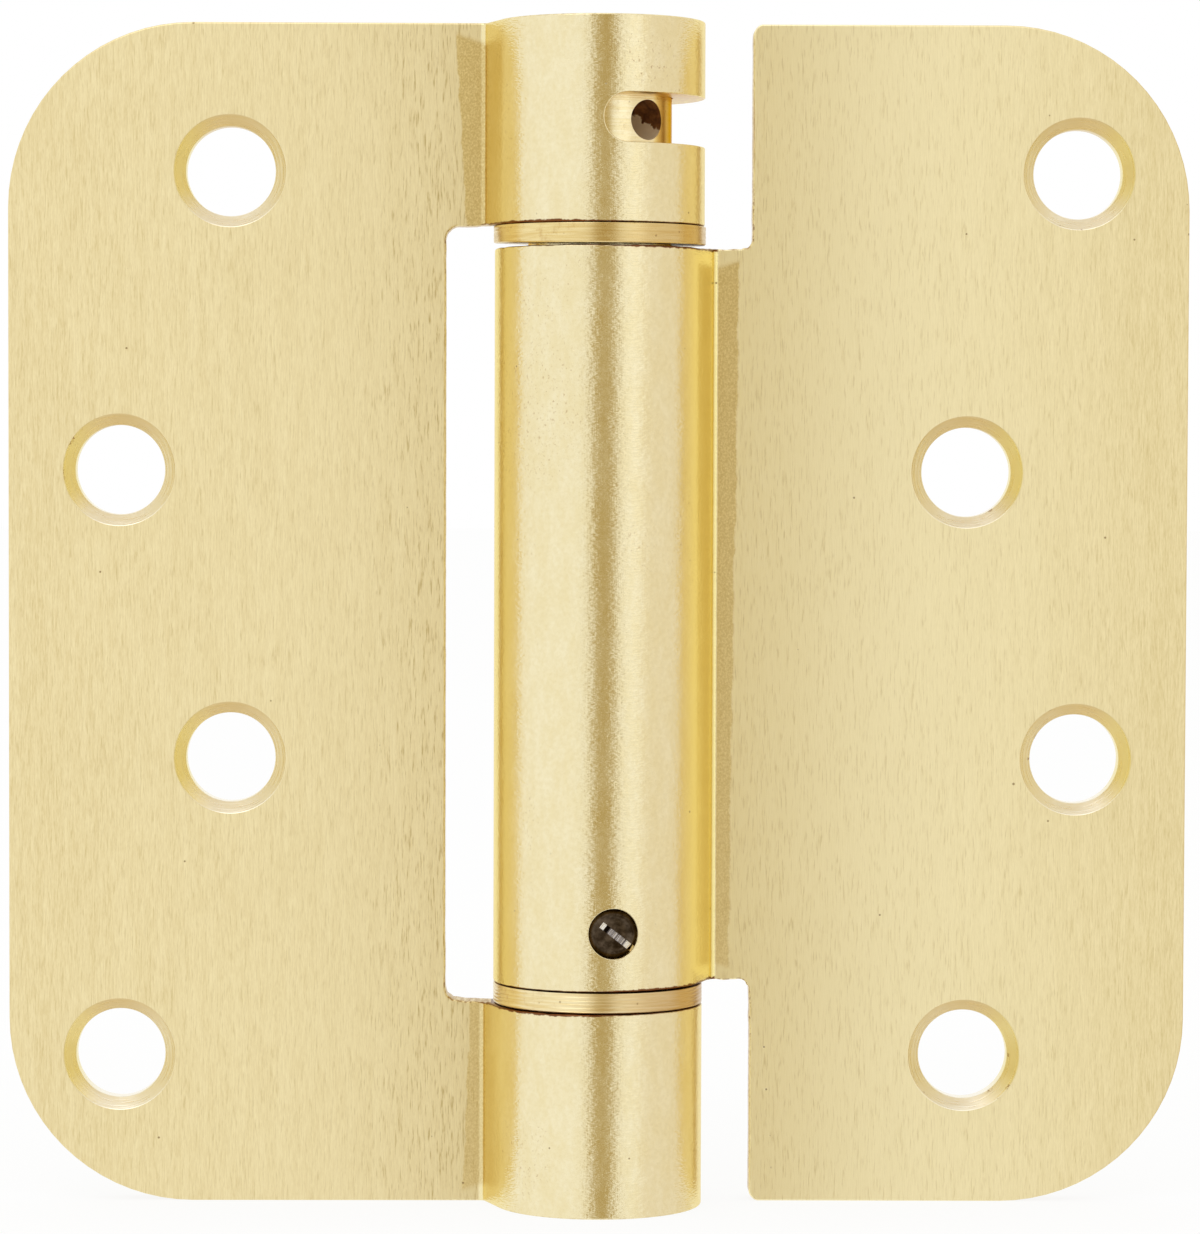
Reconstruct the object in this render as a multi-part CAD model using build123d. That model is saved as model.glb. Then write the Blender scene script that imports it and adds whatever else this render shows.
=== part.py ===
from build123d import *
import math
import os

# Spring hinge with its leaves open flat, in millimetres.
# The origin is on the pivot axis at mid height. +Z runs up the barrel, the door leaf
# lies along +X, the frame leaf along -X, and the screw heads go in from the -Y side.

# Leaves, stamped from flat sheet
SHEET = 2.8                    # thickness of both leaves
REACH = 50.8                   # pivot axis to a leaf's outer edge
HEIGHT = 101.6
OUTER_CORNER = 15.875          # radius of the two big corners of each leaf
FACE_Y = 0.8                   # front face, half the gap that is left between closed leaves
CUT_X = 13.2                   # pivot axis to the cut edge beside the other leaf's knuckle
CUT_CORNER = 1.1               # radius in the inner corners of the cut-outs
CUT_TIP = 0.9                  # radius on the door leaf's two small corners
EDGE_BREAK = 0.2               # bevel round the front face of each leaf

# Barrel, rolled from the same sheet
BARREL_R = 9.0
BORE_R = BARREL_R - SHEET
BEND_R = 0.4                   # inner radius of the sharp bend between leaf and knuckle
LIFT_ANGLE = 20.0              # how far round the front the strip is straight before it rolls
SEAM_ANGLE = 23.0              # where the rolled end stops, round the back from the leaf's side
END_BREAK = 0.35               # bevel on the barrel's two ends
CENTRE_HALF = 31.5             # half the length of the door leaf's knuckle and of its strip
OUTER_START = 33.4             # inner ends of the frame leaf's two knuckles and their strips

# Screw holes, staggered so that the heads miss each other when the hinge is closed
HOLE_R = 3.85
SINK_R = 4.825
SINK_ANGLE = 82.0
NEAR_COLUMN = 31.75            # 3/4 inch in from the outer edge
FAR_COLUMN = 41.275            # 3/8 inch in from the outer edge
OUTER_ROW = 38.1
INNER_ROW = 12.4

# Wrench slot through the top knuckle. Angles run from the front (-Y) towards +X.
SLOT_Z = 42.2
SLOT_HEIGHT = 4.2
SLOT_FIRST = 15.0              # centre of the slot's rounded front end
SLOT_LAST = 150.0              # centre of its rounded rear end

# Tension collar, which turns in the top knuckle and in the top of the centre knuckle
RUNNING_GAP = 0.06
JOURNAL_R = BORE_R - RUNNING_GAP
COLLAR_TOP = 47.8
COLLAR_BOTTOM = 25.0
ROD_HOLE_R = 1.73
ROD_HOLE_Z = 42.2
ROD_HOLE_FIRST = 39.5
ROD_HOLE_DRILLINGS = 2         # drilled right through, so twice as many mouths
TURNED_BREAK = 0.4             # chamfer on the turned plugs' ends

# Spring anchor, held in the foot of the centre knuckle and turning in the bottom one
ANCHOR_TOP = -22.5
ANCHOR_BOTTOM = -45.0
GRUB_R = 2.08                  # number 8 set screw
GRUB_HOLE_R = 2.13
GRUB_Z = -26.57
GRUB_ANGLE = 8.0
GRUB_FACE = 8.8                # its slotted face, a little under the barrel's surface
GRUB_TIP = 3.4
GRUB_SLOT_WIDTH = 0.7
GRUB_SLOT_DEPTH = 1.0
GRUB_SLOT_TILT = 36.0          # how far the slot falls to the right
GRUB_DISH = 0.25

# Bearing rings between the knuckles
RING_BORE_R = 6.26
UPPER_RING_R = 9.1
UPPER_RING_LOW = 31.66
UPPER_RING_HIGH = 33.36
LOWER_RING_R = 9.0
LOWER_RING_LOW = -33.3
LOWER_RING_HIGH = -31.6
RING_BREAK = 0.15              # bevel round both ends of a ring's rim

# Torsion spring, with a straight tang at each end
WIRE = 2.5                     # diameter
WIRE_SIDES = 8                 # flats that stand for the round wire
SPRING_MEAN_R = 4.6
SPRING_TURNS = 17
STEPS_PER_TURN = 12            # straight lengths that stand for one turn
TANG_SLOT_WIDTH = 2.9
TANG_SLOT_DEPTH = 3.4
TANG_LENGTH = 3.0
SPRING_END_GAP = 0.3

# Plugs that close the two ends of the barrel
PLUG_R = BORE_R - 0.01
PLUG_RECESS = 0.4
PLUG_LENGTH = 2.4


def polar(radius, angle):
    """A point at an angle in degrees from +X."""
    turn = math.radians(angle)
    return (radius * math.cos(turn), radius * math.sin(turn))


def outward(angle, z):
    """A plane on the pivot axis that looks out through the barrel, at an angle from the front."""
    x, y = polar(1, angle - 90)
    return Plane(origin=(0, 0, z), x_dir=(-y, x, 0), z_dir=(x, y, 0))


def between(low, high):
    """Moves a solid that was extruded or centred about z = 0 to the middle of a span."""
    return Pos(0, 0, (low + high) / 2)


def bend_centre():
    """Centre of the sharp bend by which the sheet leaves the leaf and starts for the barrel."""
    lift = math.radians(LIFT_ANGLE)
    rise = (FACE_Y + BARREL_R * math.sin(lift)) / math.cos(lift)
    corner_x = BARREL_R * math.cos(lift) + rise * math.sin(lift)
    return corner_x + BEND_R * math.tan((math.pi / 2 - lift) / 2), FACE_Y - BEND_R


def knuckle_section():
    """One strip, rolled: up from the leaf, straight to the barrel, over the front and back to a
    butt seam behind."""
    cx, cy = bend_centre()
    roll = 360 - LIFT_ANGLE - SEAM_ANGLE
    front_bend = CenterArc((cx, cy), BEND_R, 90, 90 - LIFT_ANGLE)
    outside = CenterArc((0, 0), BARREL_R, -LIFT_ANGLE, -roll)
    inside = CenterArc((0, 0), BORE_R, -LIFT_ANGLE, -roll)
    back_bend = CenterArc((cx, cy), BEND_R + SHEET, 90, 90 - LIFT_ANGLE)
    outline = Curve() + [
        front_bend,
        Line(front_bend @ 1, outside @ 0),
        outside,
        Line(outside @ 1, inside @ 1),
        inside,
        Line(inside @ 0, back_bend @ 1),
        back_bend,
        Line((cx, FACE_Y), (cx, FACE_Y + SHEET)),
    ]
    return make_face(outline)


def knuckle(low, high):
    """A rolled knuckle between two heights, open towards +X where its leaf begins."""
    return Pos(0, 0, low) * extrude(knuckle_section(), high - low)


def outer_knuckle():
    """The knuckle at the barrel's top, turned like the door leaf's, with its outer end bevelled."""
    end = HEIGHT / 2
    corner = Polyline(
        (BARREL_R - END_BREAK, end), (BARREL_R, end), (BARREL_R, end - END_BREAK), close=True
    )
    round_part = 360 - LIFT_ANGLE - SEAM_ANGLE
    worn = revolve(Plane.XZ * make_face(corner), Axis.Z, round_part)
    return knuckle(OUTER_START, end) - Rot(0, 0, SEAM_ANGLE) * worn


def plate(outline, rounded_to):
    """A leaf's flat part, from its outline seen from the front, with the front edge bevelled."""
    blank = Pos(0, FACE_Y + SHEET, 0) * extrude(Plane.XZ * outline, SHEET)
    rim = [
        edge
        for edge in blank.faces().sort_by(Axis.Y)[0].edges()
        if edge.center().X * rounded_to > CUT_X + CUT_CORNER
    ]
    return chamfer(rim, EDGE_BREAK)


def corners(outline, x, heights):
    """The outline's corners at one x and some heights above and below the middle."""
    return [
        v
        for v in outline.vertices()
        if abs(v.X - x) < 0.01 and any(abs(abs(v.Y) - h) < 0.01 for h in heights)
    ]


def leaf_panel(side):
    """The part of a leaf that lies flat on the door or frame. side is its sign along X."""
    width = REACH - CUT_X
    return Pos(side * (CUT_X + width / 2), 0) * Rectangle(width, HEIGHT)


def screw_cutter(x, z):
    """A countersunk screw hole, cut from the front."""
    depth = (SINK_R - HOLE_R) / math.tan(math.radians(SINK_ANGLE / 2))
    front = Plane(origin=(x, FACE_Y, z), x_dir=(1, 0, 0), z_dir=(0, 1, 0))
    shank = front * Cylinder(HOLE_R, 4 * SHEET)
    head = front * Cone(SINK_R, HOLE_R, depth, align=(Align.CENTER, Align.CENTER, Align.MIN))
    return shank + head


def leaf_screws(side):
    """Two columns of two holes. The door leaf's columns are the frame leaf's, swapped over."""
    near_rows = (OUTER_ROW, -INNER_ROW) if side < 0 else (INNER_ROW, -OUTER_ROW)
    far_rows = (INNER_ROW, -OUTER_ROW) if side < 0 else (OUTER_ROW, -INNER_ROW)
    near = [screw_cutter(side * NEAR_COLUMN, z) for z in near_rows]
    far = [screw_cutter(side * FAR_COLUMN, z) for z in far_rows]
    return near + far


def wrench_slot():
    """A milled slot round the top knuckle, where a rod reaches the collar's holes."""
    reach = BARREL_R + 1
    start = SLOT_FIRST - 90
    sweep = SLOT_LAST - SLOT_FIRST
    sector = Sketch() + make_face(
        Curve()
        + [
            Line((0, 0), polar(reach, start)),
            CenterArc((0, 0), reach, start, sweep),
            Line(polar(reach, start + sweep), (0, 0)),
        ]
    )
    middle = Pos(0, 0, SLOT_Z - SLOT_HEIGHT / 2) * extrude(sector, SLOT_HEIGHT)
    mill = Cylinder(SLOT_HEIGHT / 2, reach, align=(Align.CENTER, Align.CENTER, Align.MIN))
    ends = [outward(angle, SLOT_Z) * mill for angle in (SLOT_FIRST, SLOT_LAST)]
    return middle + ends


def grub_hole():
    """The tapped hole for the set screw, through the centre knuckle into the anchor."""
    length = BARREL_R + 1 - GRUB_TIP
    hole = Cylinder(GRUB_HOLE_R, length, align=(Align.CENTER, Align.CENTER, Align.MIN))
    return outward(GRUB_ANGLE, GRUB_Z) * Pos(0, 0, GRUB_TIP - 0.05) * hole


def frame_leaf():
    """The leaf that is screwed to the frame, with the top and bottom knuckles."""
    cx, _ = bend_centre()
    outline = leaf_panel(-1)
    neck_height = HEIGHT / 2 - OUTER_START
    for side in (1, -1):
        middle = side * (OUTER_START + neck_height / 2)
        outline += Pos(-(CUT_X + cx) / 2, middle) * Rectangle(CUT_X - cx, neck_height)
    outline = fillet(corners(outline, -REACH, [HEIGHT / 2]), OUTER_CORNER)
    outline = fillet(corners(outline, -CUT_X, [OUTER_START]), CUT_CORNER)
    top_knuckle = mirror(outer_knuckle(), Plane.YZ)
    body = plate(outline, -1) + top_knuckle + mirror(top_knuckle, Plane.XY)
    body -= wrench_slot()
    return body - leaf_screws(-1)


def door_leaf():
    """The leaf that is screwed to the door, with the long centre knuckle."""
    cx, _ = bend_centre()
    outline = leaf_panel(1)
    outline += Pos((CUT_X + cx) / 2, 0) * Rectangle(CUT_X - cx, 2 * CENTRE_HALF)
    outline = fillet(corners(outline, REACH, [HEIGHT / 2]), OUTER_CORNER)
    outline = fillet(corners(outline, CUT_X, [CENTRE_HALF]), CUT_CORNER)
    outline = fillet(corners(outline, CUT_X, [HEIGHT / 2]), CUT_TIP)
    body = plate(outline, 1)
    body += knuckle(-CENTRE_HALF, CENTRE_HALF)
    body -= grub_hole()
    return body - leaf_screws(1)


def turned_pin(low, high):
    """A turned plug with chamfered ends that fills the bore with a running clearance."""
    pin = between(low, high) * Cylinder(JOURNAL_R, high - low)
    return chamfer(pin.edges().filter_by(GeomType.CIRCLE), TURNED_BREAK)


def tang_slot(end, inward):
    """The slot across the end of a plug that takes the spring's tang."""
    middle = end + inward * TANG_SLOT_DEPTH / 2
    return Pos(0, 0, middle) * Box(2 * BARREL_R, TANG_SLOT_WIDTH, TANG_SLOT_DEPTH)


def tension_collar():
    """The plug that a rod turns to wind the spring, cross-drilled for rod and pin."""
    body = turned_pin(COLLAR_BOTTOM, COLLAR_TOP) - tang_slot(COLLAR_BOTTOM, 1)
    step = 180 / ROD_HOLE_DRILLINGS
    for number in range(ROD_HOLE_DRILLINGS):
        angle = ROD_HOLE_FIRST + number * step
        body -= outward(angle, ROD_HOLE_Z) * Cylinder(ROD_HOLE_R, 2 * BARREL_R)
    return body


def spring_anchor():
    """The plug that holds the spring's foot, fixed to the centre knuckle by a set screw."""
    body = turned_pin(ANCHOR_BOTTOM, ANCHOR_TOP) - tang_slot(ANCHOR_TOP, -1)
    return body - grub_hole()


def grub_screw():
    """A slotted set screw with a shallow dish in its face."""
    length = GRUB_FACE - GRUB_TIP
    base = (Align.CENTER, Align.CENTER, Align.MIN)
    body = Cylinder(GRUB_R, length, align=base)
    body = chamfer(body.edges().filter_by(GeomType.CIRCLE).sort_by(Axis.Z)[0], 0.5)
    dish = Cone(0.6 * GRUB_R, 0.85 * GRUB_R, GRUB_DISH, align=base)
    slot = Rot(0, 0, -GRUB_SLOT_TILT) * Box(3 * GRUB_R, GRUB_SLOT_WIDTH, 2 * GRUB_SLOT_DEPTH)
    body -= Pos(0, 0, length - GRUB_DISH) * dish
    body -= Pos(0, 0, length) * slot
    return outward(GRUB_ANGLE, GRUB_Z) * Pos(0, 0, GRUB_TIP) * body


def bearing_ring(radius, low, high):
    """A turned ring with its rim bevelled."""
    ring = Cylinder(radius, high - low) - Cylinder(RING_BORE_R, high - low)
    rim = ring.edges().filter_by(GeomType.CIRCLE).filter_by(lambda e: e.radius > RING_BORE_R)
    return between(low, high) * chamfer(rim, RING_BREAK)


def torsion_spring():
    """A close coil between collar and anchor, each end turned along the axis into a slot."""
    low = ANCHOR_TOP + SPRING_END_GAP + WIRE / 2
    high = COLLAR_BOTTOM - SPRING_END_GAP - WIRE / 2
    steps = SPRING_TURNS * STEPS_PER_TURN
    rise = (high - low) / steps
    points = [
        (*polar(SPRING_MEAN_R, 360 * step / STEPS_PER_TURN), low + step * rise)
        for step in range(steps + 1)
    ]
    coil = Polyline(points)
    start = Plane(origin=coil @ 0, x_dir=(0, 0, 1), z_dir=coil % 0)
    section = RegularPolygon(WIRE / 2, WIRE_SIDES)
    wire = sweep(start * section, coil, transition=Transition.RIGHT)
    length = TANG_LENGTH + SPRING_END_GAP + WIRE
    low_tang = low + WIRE / 2 - length / 2
    high_tang = high - WIRE / 2 + length / 2
    for middle in (low_tang, high_tang):
        wire += Pos(SPRING_MEAN_R, 0, middle - length / 2) * extrude(section, length)
    return wire


def end_plug(side):
    """The flat plug pressed into the barrel's end, a little below flush."""
    outer = HEIGHT / 2 - PLUG_RECESS
    return Pos(0, 0, side * (outer - PLUG_LENGTH / 2)) * Cylinder(PLUG_R, PLUG_LENGTH)


PARTS = {
    "frame_leaf": frame_leaf(),
    "door_leaf": door_leaf(),
    "tension_collar": tension_collar(),
    "spring_anchor": spring_anchor(),
    "torsion_spring": torsion_spring(),
    "grub_screw": grub_screw(),
    "upper_bearing_ring": bearing_ring(UPPER_RING_R, UPPER_RING_LOW, UPPER_RING_HIGH),
    "lower_bearing_ring": bearing_ring(LOWER_RING_R, LOWER_RING_LOW, LOWER_RING_HIGH),
    "top_end_plug": end_plug(1),
    "bottom_end_plug": end_plug(-1),
}

os.makedirs("parts", exist_ok=True)
for name, solid in PARTS.items():
    export_step(solid, f"parts/{name}.step")
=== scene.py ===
import math

import bmesh
import bpy
from mathutils import Matrix, Vector, noise


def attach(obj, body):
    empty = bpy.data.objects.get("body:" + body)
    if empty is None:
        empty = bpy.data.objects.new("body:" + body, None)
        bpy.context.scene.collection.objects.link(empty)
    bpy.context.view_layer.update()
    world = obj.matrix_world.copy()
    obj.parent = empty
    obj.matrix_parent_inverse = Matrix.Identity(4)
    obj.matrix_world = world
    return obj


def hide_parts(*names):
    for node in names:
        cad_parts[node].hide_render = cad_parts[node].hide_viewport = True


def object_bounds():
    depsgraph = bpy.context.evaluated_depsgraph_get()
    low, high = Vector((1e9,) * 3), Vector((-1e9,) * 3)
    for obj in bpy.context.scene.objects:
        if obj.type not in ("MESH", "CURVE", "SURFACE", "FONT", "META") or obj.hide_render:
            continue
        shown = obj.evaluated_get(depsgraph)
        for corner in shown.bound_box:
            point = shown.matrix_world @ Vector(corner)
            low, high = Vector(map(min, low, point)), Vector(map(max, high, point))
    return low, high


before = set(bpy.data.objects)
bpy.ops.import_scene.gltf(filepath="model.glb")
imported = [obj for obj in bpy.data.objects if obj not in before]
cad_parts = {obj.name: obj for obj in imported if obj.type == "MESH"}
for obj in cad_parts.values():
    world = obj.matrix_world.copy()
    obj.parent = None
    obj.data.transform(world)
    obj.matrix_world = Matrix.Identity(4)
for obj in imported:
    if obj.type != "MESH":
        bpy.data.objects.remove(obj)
cad_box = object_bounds()

# Studio. The hinge stands on a pale floor in a white room. A narrow warm card in front gives the
# barrel the darker streak down its middle, a broad pale one beside it the duller right flank, and
# two weak soft boxes above the camera the glints on the countersinks.

FOCAL_PIXELS = 4530.91     # of the pinhole camera fitted to the photo
FRAME_HIGH = 1234
CAMERA_PLACE = (-0.004656, -0.389683, 0.015023)
CAMERA_TILT = (0.038916, 0.002759, 0.0122474)
SENSOR = 36.0
WHITE_SHARE = 0.88         # how much of the floor is plain white, the rest takes shadows


def add(tree, kind, *values, out=0, **settings):
    """Adds a node with its settings, and gives back one of its outputs, or all of them. Values and
    sockets go into its inputs in their order, or by the names of a dictionary."""
    made = tree.nodes.new(kind)
    for key, value in settings.items():
        setattr(made, key, value)
    by_name = values and isinstance(values[0], dict)
    for key, value in values[0].items() if by_name else enumerate(values):
        if isinstance(value, bpy.types.NodeSocket):
            tree.links.new(value, made.inputs[key])
        else:
            made.inputs[key].default_value = value
    return made.outputs if out == "all" else made.outputs[out] if made.outputs else None


MATH = "ShaderNodeMath"
MIX = "ShaderNodeMix"
RANGE = "ShaderNodeMapRange"
SPLIT = "ShaderNodeSeparateXYZ"
VECTORS = "ShaderNodeVectorMath"
EASED = {"interpolation_type": "SMOOTHSTEP"}
BLEND = {"data_type": "RGBA", "out": 2}
TIMES = {"operation": "MULTIPLY"}
TIMES_PLUS = {"operation": "MULTIPLY_ADD"}


def colour(code):
    """An sRGB hex colour as linear RGBA."""
    channels = [int(code[at : at + 2], 16) / 255 for at in (0, 2, 4)]
    return [c / 12.92 if c <= 0.04045 else ((c + 0.055) / 1.055) ** 2.4 for c in channels] + [1.0]


def started(owner):
    """The empty node tree of a material or world."""
    owner.use_nodes = True
    owner.node_tree.nodes.clear()
    return owner.node_tree


def placed(name, data):
    """A new object in the scene."""
    made = bpy.data.objects.new(name, data)
    bpy.context.collection.objects.link(made)
    return made


view = bpy.data.cameras.new("camera")
view.lens = FOCAL_PIXELS * SENSOR / FRAME_HIGH
view.sensor_width = SENSOR
view.clip_start = 0.01
view.clip_end = 20.0
turn = Matrix.Rotation(CAMERA_TILT[2], 3, "Z") @ Matrix.Rotation(CAMERA_TILT[1], 3, "Y")
turn = (turn @ Matrix.Rotation(CAMERA_TILT[0], 3, "X")).transposed()
# the fitted axes run right, into the picture and up; a camera's own run right, up and back
axes = Matrix((turn.col[0], turn.col[2], -turn.col[1])).transposed()
camera = placed("camera", view)
camera.matrix_world = Matrix.Translation(CAMERA_PLACE) @ axes.to_4x4()
bpy.context.scene.camera = camera
bpy.context.scene.view_settings.view_transform = "Standard"

room = bpy.data.worlds.new("white_room")
tree = started(room)
sky = add(tree, "ShaderNodeBackground", (1, 1, 1, 1), 1.0)
add(tree, "ShaderNodeOutputWorld", sky)
bpy.context.scene.world = room

# white for rays from the camera and off metal, and matt for those that light matt things
paint = bpy.data.materials.new("matt_white_floor")
tree = started(paint)
path = add(tree, "ShaderNodeLightPath", out="all")
seen = add(tree, MATH, path["Is Camera Ray"], path["Is Glossy Ray"], operation="MAXIMUM")
seen = add(tree, MATH, seen, path["Is Transmission Ray"], operation="MAXIMUM")
share = add(tree, MATH, seen, WHITE_SHARE, **TIMES)
matt = add(tree, "ShaderNodeBsdfDiffuse", colour("F4F4F2"))
plain = add(tree, "ShaderNodeEmission", (1, 1, 1, 1), 1.0)
both = add(tree, "ShaderNodeMixShader", share, matt, plain)
add(tree, "ShaderNodeOutputMaterial", both)


def card(name, corners, material, hidden_from=()):
    """A flat sheet that belongs to the studio."""
    mesh = bpy.data.meshes.new(name)
    mesh.from_pydata(corners, [], [(0, 1, 2, 3)])
    mesh.materials.append(material)
    made = placed(name, mesh)
    for kind in hidden_from:
        setattr(made, f"visible_{kind}", False)


def standing(first, last, tall):
    """The corners of an upright sheet between two places on the floor plan."""
    return [(*first, -tall), (*last, -tall), (*last, tall), (*first, tall)]


def glowing(name, code):
    """A material that gives off a plain colour."""
    material = bpy.data.materials.new(name)
    tree = started(material)
    add(tree, "ShaderNodeOutputMaterial", add(tree, "ShaderNodeEmission", colour(code), 1.0))
    return material


floor_z = cad_box[0][2]
far = 3.0
floor_corners = [(x * far, y * far, floor_z) for x, y in ((-1, -1), (1, -1), (1, 1), (-1, 1))]
card("floor", floor_corners, paint, ["glossy"])
REFLECTED_ONLY = ("camera", "diffuse", "shadow", "transmission", "volume_scatter")
CARD_Y, CARD_MIDDLE, CARD_HALF, CARD_TALL = -0.075, 0.0064, 0.0162, 0.14
left, right = (CARD_MIDDLE - CARD_HALF, CARD_Y), (CARD_MIDDLE + CARD_HALF, CARD_Y)
card(
    "streak_card",
    standing(left, right, CARD_TALL),
    glowing("warm_card", "BBA776"),
    REFLECTED_ONLY,
)
SIDE_X, SIDE_FROM, SIDE_TO, SIDE_TALL = 0.4, -0.36, 0.3, 0.5
card(
    "side_card",
    standing((SIDE_X, SIDE_FROM), (SIDE_X, SIDE_TO), SIDE_TALL),
    glowing("pale_card", "F3EDE4"),
    REFLECTED_ONLY,
)

for name, place, size, power in (
    ("soft_box_high", (-0.15, -0.4, 0.7), 0.6, 0.8),
    ("soft_box_right", (0.62, -0.62, 0.25), 0.5, 0.12),
):
    lamp = bpy.data.lights.new(name, "AREA")
    lamp.shape = "SQUARE"
    lamp.size = size
    lamp.energy = power
    soft_box = placed(name, lamp)
    soft_box.location = place
    soft_box.rotation_euler = (-Vector(place)).to_track_quat("-Z", "Y").to_euler()

# Frame leaf. A blank stamped from 2.8 mm steel, countersunk, brushed along its length and plated in
# satin brass. Its two tongues are rolled over the front into the top and the bottom knuckle, and a
# slot is milled through the top one for the rod that winds the spring.

MM = 0.001
SHEET = 2.8
REACH = TALL = 50.8        # from the barrel's axis and middle to the leaf's outer edges
OUTER_CORNER = 15.875
FACE_Y = 0.8
CUT_X = 13.2               # the cut edge beside the other leaf's knuckle
BARREL_R = 9.0
BEND_R = 0.4
LIFT = math.radians(20)    # how far round the front the strip stays straight, before the roll
SEAM_ANGLE = 23.0
BEND_TURN = math.pi / 2 - LIFT
BEND_Y = FACE_Y - BEND_R
RISE = (FACE_Y + BARREL_R * math.sin(LIFT)) / math.cos(LIFT)
BEND_X = BARREL_R * math.cos(LIFT) + RISE * math.sin(LIFT) + BEND_R * math.tan(BEND_TURN / 2)
BEND_LENGTH = BEND_R * BEND_TURN
STRAIGHT = RISE - BEND_R * math.tan(BEND_TURN / 2)
ROLL_TURN = 2 * math.pi - LIFT - math.radians(SEAM_ANGLE)
BEND_END = BEND_X - BEND_LENGTH        # these three are measured along the strip's front face
BARREL_START = BEND_END - STRAIGHT
SEAM_S = BARREL_START - BARREL_R * ROLL_TURN
ROLL_STEP = 2.25           # degrees of the barrel to one strip of faces

HOLE_R = 3.85
SINK_R = 4.825
SINK_DEPTH = (SINK_R - HOLE_R) / math.tan(math.radians(41))
OUTER_ROW, INNER_ROW = 38.1, 12.4
NEAR_COLUMN, FAR_COLUMN = 31.75, 41.275

FACE_BREAK = 0.16          # radius that brushing leaves on the front edges
BACK_BREAK = 0.08
EDGE_STEPS = 3
FILLET_STEP = 5.0          # degrees


def rounded(corners):
    """A closed outline from corners (s, z, radius), anticlockwise, with a fillet at each."""
    points = []
    for at, (s, z, radius) in enumerate(corners):
        here = Vector((s, z))
        back = (Vector(corners[at - 1][:2]) - here).normalized()
        ahead = (Vector(corners[(at + 1) % len(corners)][:2]) - here).normalized()
        half = back.angle(ahead) / 2
        start = here + back * radius / math.tan(half)
        centre = here + (back + ahead).normalized() * radius / math.sin(half)
        spoke = start - centre
        sweep = math.pi - 2 * half
        if back.x * ahead.y - back.y * ahead.x > 0:
            sweep = -sweep
        count = max(1, round(abs(math.degrees(sweep)) / FILLET_STEP))
        for number in range(count + 1):
            turned_by = Matrix.Rotation(sweep * number / count, 2)
            points.append(centre + turned_by @ spoke)
    return points


def long_round(first, last, z, radius, count):
    """A slot's outline from the centres of its round ends, or a round hole if they're the same."""
    half = count // 2
    points = []
    for s, start in ((max(first, last), -90), (min(first, last), 90)):
        for number in range(half + (first != last)):
            angle = math.radians(start + 180 * number / half)
            points.append(Vector((s + radius * math.cos(angle), z + radius * math.sin(angle))))
    return points


FACE, CUT, SUNK, MILLED = range(4)     # a leaf's four finishes


def edge_profile(front, back, wall=CUT):
    """A cut edge through the sheet as (inset, depth, lean, finish), where lean 0 faces front, 1
    sideways and 2 back."""
    rows = []
    for number in range(EDGE_STEPS + 1):
        lean = number / EDGE_STEPS
        angle = lean * math.pi / 2
        kind = FACE if number < EDGE_STEPS else wall
        rows.append((front * (1 - math.sin(angle)), front * (1 - math.cos(angle)), lean, kind))
    for number in range(EDGE_STEPS + 1):
        angle = number / EDGE_STEPS * math.pi / 2
        inset = back * (1 - math.cos(angle))
        rows.append((inset, SHEET - back * (1 - math.sin(angle)), 1 + number / EDGE_STEPS, wall))
    return rows


def sink_profile():
    """A countersunk screw hole through the sheet, in the same form."""
    rim, lean = 0.05, 49 / 90
    inset = SINK_R - HOLE_R
    slope = inset / SINK_DEPTH
    rows = [(inset + rim, 0, 0, FACE), (inset + rim * 0.3, rim * 0.25, lean / 2, SUNK)]
    for number in range(5):
        depth = rim + (SINK_DEPTH - 2 * rim) * number / 4
        rows.append((inset - depth * slope, depth, lean, SUNK))
    rows.append((rim * 0.25, SINK_DEPTH, (1 + lean) / 2, SUNK))
    rows.append((0, SINK_DEPTH + rim, 1, SUNK))
    return rows + edge_profile(0, BACK_BREAK, SUNK)[EDGE_STEPS + 1 :]


def on_sheet(s, depth):
    """Where a point of the flat blank comes to lie when the knuckle is rolled, and which way is
    down into the sheet and along it there. s is measured along the front face."""
    gone = BEND_X - s
    if gone <= 0:
        return Vector((s, FACE_Y + depth)), Vector((0, 1)), Vector((1, 0))
    if gone <= BEND_LENGTH:
        angle = math.pi / 2 + gone / BEND_R
        down = Vector((math.cos(angle), math.sin(angle)))
        place = Vector((BEND_X, BEND_Y)) + down * (BEND_R + depth)
        return place, down, Vector((down.y, -down.x))
    angle = -LIFT - max(0, gone - BEND_LENGTH - STRAIGHT) / BARREL_R
    out = Vector((math.cos(angle), math.sin(angle)))
    along = Vector((-out.y, out.x))
    short = max(0, BEND_LENGTH + STRAIGHT - gone)
    return out * (BARREL_R - depth) + along * short, -out, along


noise.seed_set(9)          # the same ragged edges in each run
NECK_FROM, NECK_TO = 28.5, 35.5        # the |z| between which an edge lies at the neck
NECK_RAGS, BARREL_RAGS, CUT_RAGS = 0.14, 0.05, 0.025
RAGS_TO_MM = 1.9           # how fast they change along the edge
SEAM_LAND = 1.5            # the strip beside the seam, which stays straight


def ragged(points):
    """Points of an outline moved a little, as a worn die leaves them: most at the neck beside the
    knuckle, less round the barrel's ends, and hardly on the long cut edges."""
    moved = []
    for point in points:
        push = noise.noise_vector(Vector((point.x * RAGS_TO_MM, point.y * RAGS_TO_MM, 3.7)))
        amount = NECK_RAGS if NECK_FROM < abs(point.y) < NECK_TO else CUT_RAGS
        amount = BARREL_RAGS if point.x < BEND_X + 0.3 else amount
        amount = 0 if point.x > CUT_X + 1 or point.x < SEAM_S + SEAM_LAND else amount
        point = point + Vector((push.x, push.y)) * amount
        point.y = max(-TALL, min(TALL, point.y))
        moved.append(point)
    return moved


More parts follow.
